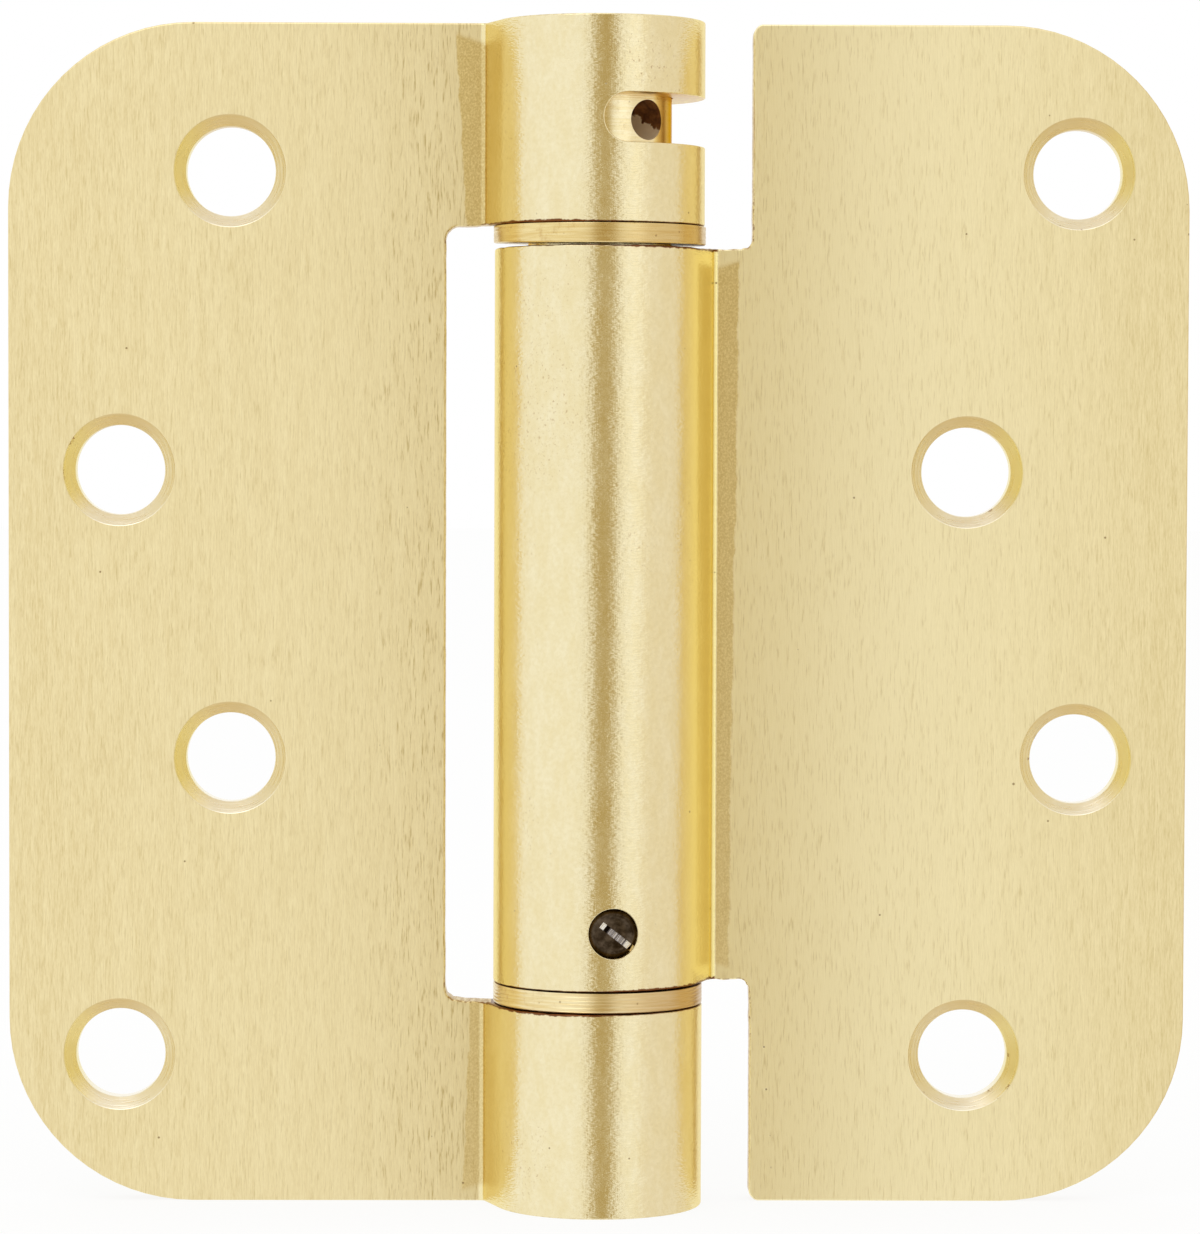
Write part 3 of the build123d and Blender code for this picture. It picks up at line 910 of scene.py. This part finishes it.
def drill(centre, direction, radius, length):
    """A round bar along a direction, as a cutter."""
    bm = bmesh.new()
    ends = {"radius1": radius * MM, "radius2": radius * MM, "cap_ends": True}
    bmesh.ops.create_cone(bm, segments=48, depth=length * MM, **ends)
    spin = Vector(direction).to_track_quat("Z", "Y").to_matrix().to_4x4()
    place = Matrix.Translation(Vector(centre) * MM) @ spin
    bmesh.ops.transform(bm, matrix=place, verts=bm.verts)
    return bm


def settled(piece):
    """Makes the modifiers of a piece real, and gives back its new mesh."""
    bpy.context.view_layer.update()
    solid = piece.evaluated_get(bpy.context.evaluated_depsgraph_get())
    old, piece.data = piece.data, bpy.data.meshes.new_from_object(solid)
    piece.modifiers.clear()
    bpy.data.meshes.remove(old)
    piece.data.name = piece.name
    return piece.data


WELD = 0.015               # cuts leave slivers narrower than this


def cut(piece, cutters, break_width, index=0):
    """Cuts shapes out of a piece and breaks the sharp edges that this leaves. index is the number
    of the material that the cuts show."""
    tools = []
    for bm in cutters:
        for face in bm.faces:
            face.material_index = index
        tools.append(placed("cutter", meshed("cutter", bm, piece.data.materials)))
        step = piece.modifiers.new("cut", "BOOLEAN")
        step.operation = "DIFFERENCE"
        step.solver = "EXACT"
        step.object = tools[-1]
    weld = piece.modifiers.new("weld", "WELD")
    weld.merge_threshold = WELD * MM
    worn = piece.modifiers.new("worn_edges", "BEVEL")
    worn.width = break_width * MM
    worn.segments = 2
    worn.limit_method = "ANGLE"
    worn.angle_limit = math.radians(38)
    worn.harden_normals = True
    settled(piece)
    for tool in tools:
        spent = tool.data
        bpy.data.objects.remove(tool)
        bpy.data.meshes.remove(spent)


def outward(angle):
    """The way out of the barrel at an angle in degrees from the front towards the door leaf."""
    return Vector((math.sin(math.radians(angle)), -math.cos(math.radians(angle)), 0))


def tang_cutter(end, inward):
    """The slot across a plug's end for the spring's tang."""
    middle = (0, 0, end + inward * (TANG_DEPTH / 2 - 0.5))
    return bar(middle, (2 * BARREL_R, TANG_WIDTH, TANG_DEPTH + 1), Matrix.Identity(3))


def drilled_brass():
    """Bore of the rod holes: raw brass, painted dark brown for a greasy film and the shade
    inside the hole, with a painted lit patch low down where light reaches the wall.
    """
    material, tree, place = finish("drilled_brass")
    film = speckle(tree, place, (1.2, 1.2, 1.2), 4.0, 0.3, 0.7, 0.7)
    # painted light: the wall is lighter below a slanting line, where light reaches into the hole
    east, _, up = add(tree, SPLIT, place, out="all")
    up = add(tree, MATH, east, 0.8, up, **TIMES_PLUS)
    up = add(tree, MATH, film, 0.7, up, **TIMES_PLUS)
    painted_lit_wall = add(tree, RANGE, up, ROD_HOLE_Z + 3.4, ROD_HOLE_Z + 3.2, **EASED)
    base = coated(tree, colour("8E5E30"), (film, "522A10"), (painted_lit_wall, "FDEBCB"))
    rough = add(tree, MATH, film, 0.2, 0.35, **TIMES_PLUS)
    sockets = {"Base Color": base, "Metallic": 0.25, "Roughness": rough}
    add(tree, "ShaderNodeOutputMaterial", add(tree, "ShaderNodeBsdfPrincipled", sockets))
    return material


collar = turned(
    "tension_collar_turned",
    pin_profile(COLLAR_LOW, COLLAR_HIGH, JOURNAL_R, 0.4),
    [
        turned_brass(
            "turned_brass_collar",
            "FBEFC8",
            "F4E4B2",
            "C8A058",
            0.2,
            0.2,
            # painted shade on the collar's right side, past x = 4.5 mm, where it turns away
            toward=(4.5, 5.1, 0, 0.8),
            edge="E6BC6C",
        ),
        drilled_brass(),
    ],
)
middle = (0, 0, ROD_HOLE_Z)
cut(
    collar,
    [
        drill(middle, outward(ROD_HOLE_FIRST), ROD_HOLE_R, 3 * BARREL_R),
        drill(middle, outward(ROD_HOLE_FIRST + 90), ROD_HOLE_R, 3 * BARREL_R),
        tang_cutter(COLLAR_LOW, 1),
    ],
    0.09,
    1,
)
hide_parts("tension_collar")
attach(collar, "collar")

# Spring anchor. A turned steel plug in the foot of the centre knuckle. The set screw holds it, and
# its lower half turns in the bottom knuckle.

ANCHOR_LOW, ANCHOR_HIGH = -45.0, -22.5
GRUB_TIP, GRUB_FACE, GRUB_R = 3.4, 8.8, 2.08


def grey_steel(name, light, dark, rough_at, line):
    """Bare carbon steel under a film of oil, with the lines of its making."""
    material, tree, place = finish(name)
    lines = speckle(tree, place, line, 3.0, 0.3, 0.7, 0.6)
    film = speckle(tree, place, (0.5, 0.5, 0.5), 4.0, 0.35, 0.7, 0.7)
    cover = add(tree, MATH, film, 0.35, **TIMES)
    base = coated(tree, colour(dark), (lines, light), (cover, "6B5A46"))
    rough = add(tree, MATH, film, 0.15, rough_at, **TIMES_PLUS)
    metal(tree, base, rough, lines, 0.000005)
    return material


anchor = turned(
    "spring_anchor_turned",
    pin_profile(ANCHOR_LOW, ANCHOR_HIGH, JOURNAL_R, 0.4),
    [grey_steel("turned_steel", "A9A6A0", "86827B", 0.3, (0.25, 0.25, 6.0))],
)
grub_out = outward(GRUB_ANGLE)
seat = grub_out * (GRUB_TIP - 0.05 + BARREL_R / 2) + Vector((0, 0, GRUB_Z))
cut(
    anchor,
    [drill(seat, grub_out, GRUB_HOLE_R, BARREL_R), tang_cutter(ANCHOR_HIGH, -1)],
    0.09,
)
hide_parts("spring_anchor")
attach(anchor, "door")

# Torsion spring. Seventeen close turns of round wire between the collar and the anchor, each end
# bent along the axis into a plug's slot.

WIRE = 2.5
SPRING_R = 4.6
SPRING_TURNS = 17
TURN_STEPS = 36
COIL_STEPS = SPRING_TURNS * TURN_STEPS
TANG_STEPS = 6
TANG_LENGTH = 3.3
SPRING_LOW = ANCHOR_HIGH + 0.3 + WIRE / 2
SPRING_HIGH = COLLAR_LOW - 0.3 - WIRE / 2

wire_steel = grey_steel("oil_tempered_wire", "6F6A63", "4E4842", 0.34, (3.0, 3.0, 0.6))
coil = bpy.data.node_groups.new("coil", "GeometryNodeTree")
face_in = coil.interface
face_in.new_socket("Geometry", in_out="OUTPUT", socket_type="NodeSocketGeometry")
COIL_INPUTS = {
    "Mean radius": SPRING_R * MM,
    "Wire radius": WIRE / 2 * MM,
    "Foot": SPRING_LOW * MM,
    "Rise of a step": (SPRING_HIGH - SPRING_LOW) * MM / COIL_STEPS,
    "Steps of the coil": COIL_STEPS,
    "Steps of a turn": TURN_STEPS,
    "Steps of a tang": TANG_STEPS,
    "Tang step": TANG_LENGTH * MM / TANG_STEPS,
}
for label, value in COIL_INPUTS.items():
    kind = "NodeSocketInt" if isinstance(value, int) else "NodeSocketFloat"
    socket = face_in.new_socket(label, in_out="INPUT", socket_type=kind)
    socket.default_value = value
given = add(coil, "NodeGroupInput", out="all")
tangs = given["Steps of a tang"]
count = add(coil, MATH, tangs, 2.0, given["Steps of the coil"], **TIMES_PLUS)
count = add(coil, MATH, count, 1.0, operation="ADD")
points = add(coil, "GeometryNodeMeshLine", {"Count": count}, out="Mesh")
index = add(coil, "GeometryNodeInputIndex")
number = add(coil, MATH, index, tangs, operation="SUBTRACT")
on_coil = add(coil, MATH, number, 0.0, operation="MAXIMUM")
on_coil = add(coil, MATH, on_coil, given["Steps of the coil"], operation="MINIMUM")
beyond = add(coil, MATH, number, on_coil, operation="SUBTRACT")
part_turn = add(coil, MATH, on_coil, given["Steps of a turn"], operation="DIVIDE")
angle = add(coil, MATH, part_turn, 2 * math.pi, **TIMES)
rise = given["Rise of a step"]
height = add(coil, MATH, on_coil, rise, given["Foot"], **TIMES_PLUS)
height = add(coil, MATH, beyond, given["Tang step"], height, **TIMES_PLUS)
flat = [add(coil, MATH, angle, operation=way) for way in ("COSINE", "SINE")]
flat = [add(coil, MATH, way, given["Mean radius"], **TIMES) for way in flat]
place = add(coil, "ShaderNodeCombineXYZ", *flat, height)
moved = add(coil, "GeometryNodeSetPosition", {"Geometry": points, "Position": place})
line = add(coil, "GeometryNodeMeshToCurve", {"Mesh": moved})
circle = {"Resolution": 18, "Radius": given["Wire radius"]}
section = add(coil, "GeometryNodeCurvePrimitiveCircle", circle, out="Curve")
tube = {"Curve": line, "Profile Curve": section, "Fill Caps": True}
wire = add(coil, "GeometryNodeCurveToMesh", tube)
real = add(coil, "GeometryNodeRealizeInstances", {"Geometry": wire})
dressed = {"Geometry": real, "Material": wire_steel}
add(coil, "NodeGroupOutput", {"Geometry": add(coil, "GeometryNodeSetMaterial", dressed)})


spring = placed("torsion_spring_coil", bpy.data.meshes.new("seed"))
spring.modifiers.new("coil", "NODES").node_group = coil
mesh = settled(spring)
mesh.shade_smooth()
mesh.set_sharp_from_angle(angle=math.radians(40))
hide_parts("torsion_spring")
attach(spring, "door")

# Set screw. A black slotted cup-point screw, number 8, that holds the anchor in the centre knuckle.
# A screwdriver has worn the floor of its slot to bare, scratched steel, which is painted with
# glints at both ends and a dark shade beside one.

GRUB_SLOT_W, GRUB_SLOT_DEEP, GRUB_SLOT_TILT = 0.56, 0.7, 38.0
GRUB_SLOT_FROM, GRUB_SLOT_TO = -1.25, 3.0
THREAD_PITCH, THREAD_DEEP = 0.79, 0.3


stand = Matrix((Vector((-grub_out.y, grub_out.x, 0)), Vector((0, 0, 1)), grub_out)).transposed()
slot_turn = Matrix.Rotation(-math.radians(GRUB_SLOT_TILT), 3, "Z")
slot_way = stand @ slot_turn @ Vector((1, 0, 0))


def black_oxide():
    """Black oxide on steel: brown-black and satin, clouded with grey-brown."""
    material, tree, place = finish("black_oxide")
    cloud = speckle(tree, place, (0.8, 0.8, 0.8), 5.0, 0.35, 0.75, 0.7)
    base = add(tree, MIX, {0: cloud, 6: colour("302518"), 7: colour("6A5C4C")}, **BLEND)
    rough = add(tree, MATH, cloud, 0.15, 0.32, **TIMES_PLUS)
    metal(tree, base, rough, cloud, 0.000012)
    return material


def slot_steel_with_glints():
    """Bare steel in the slot, scratched grey, with a painted glint at each end and a painted dark
    shade beside the first glint.
    """
    material, tree, place = finish("slot_steel_painted_glints")
    along = add(tree, VECTORS, place, slot_way, operation="DOT_PRODUCT", out="Value")
    along = add(tree, MATH, along, slot_way.z * GRUB_Z, operation="SUBTRACT")
    on_line = add(tree, "ShaderNodeCombineXYZ", along)
    lines = speckle(tree, on_line, (5.0, 1.0, 1.0), 4.0, 0.4, 0.6, 0.7)
    # painted light: a dark shade just inside the first end of the slot, and a near-white glint at
    # each end
    black = add(tree, RANGE, along, -0.3, -0.4, **EASED)
    first = add(tree, RANGE, along, -0.72, -0.8, **EASED)
    last = add(tree, RANGE, along, 1.35, 1.45, **EASED)
    bright = add(tree, MATH, first, last, operation="MAXIMUM")
    base = coated(tree, colour("5E5654"), (lines, "D8D4D6"), (black, "140D08"))
    base = coated(tree, base, (bright, "FDFCFA"))
    metal(tree, base, 0.25, lines, 0.00001)
    return material


def threaded(r, z, angle):
    """The thread's ridges on the shank below the screw's face, where the radius is full."""
    if r < GRUB_R or z > GRUB_FACE - 0.55 or z < GRUB_TIP + 0.4:
        return r, z
    turn_part = (z / THREAD_PITCH + angle / (2 * math.pi)) % 1
    return r - THREAD_DEEP * abs(2 * turn_part - 1), z


dish = [(0, 0.26), (0.8, 0.25), (1.25, 0.2), (1.45, 0.08), (1.56, 0.01), (1.66, 0)]
rim = [(GRUB_R - 0.34, 0.04), (GRUB_R - 0.04, 0.32), (GRUB_R, 0.4)]
grub_profile = [(r, GRUB_FACE - down) for r, down in dish + rim]
SHANK_ROWS = 70
shank = GRUB_FACE - 0.45 - (GRUB_TIP + 0.4)
for number in range(SHANK_ROWS + 1):
    grub_profile.append((GRUB_R, GRUB_FACE - 0.45 - shank * number / SHANK_ROWS))
grub_profile += [(1.3, GRUB_TIP), (1.1, GRUB_TIP), (0, GRUB_TIP + 0.6)]
grub = turned(
    "grub_screw_threaded",
    grub_profile,
    [black_oxide(), slot_steel_with_glints()],
    steps=72,
    shape=threaded,
)
slot_middle = slot_turn @ Vector(((GRUB_SLOT_FROM + GRUB_SLOT_TO) / 2, 0, GRUB_FACE))
slot_size = (GRUB_SLOT_TO - GRUB_SLOT_FROM, GRUB_SLOT_W, 2 * GRUB_SLOT_DEEP)
cut(grub, [bar(slot_middle, slot_size, slot_turn)], 0.04, 1)
grub.data.transform(Matrix.Translation((0, 0, GRUB_Z * MM)) @ stand.to_4x4())
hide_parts("grub_screw")
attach(grub, "door")

# End plugs. Two thin brass discs pressed into the barrel's ends, a little below flush, with the
# shallow ring of the punch that seated them.

PLUG_R = 6.19
PLUG_LENGTH, PLUG_RECESS = 2.4, 0.4
plug_brass = turned_brass("pressed_brass", "E6D199", "D4B874", "A07838", 0.35, 0.3)

for name, side in (("top_end_plug", 1), ("bottom_end_plug", -1)):
    outer = side * (TALL - PLUG_RECESS)
    profile = [(0, 0.05), (2.9, 0.03), (3.1, 0.12), (3.3, 0.12), (3.5, 0.02), (PLUG_R - 0.35, 0)]
    profile += [(PLUG_R - 0.12, 0.05), (PLUG_R, 0.3), (PLUG_R, PLUG_LENGTH - 0.2)]
    profile += [(PLUG_R - 0.2, PLUG_LENGTH), (0, PLUG_LENGTH)]
    profile = [(r, outer - side * down) for r, down in profile]
    plug = turned(f"{name}_pressed", profile, [plug_brass])
    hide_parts(name)
    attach(plug, "frame")
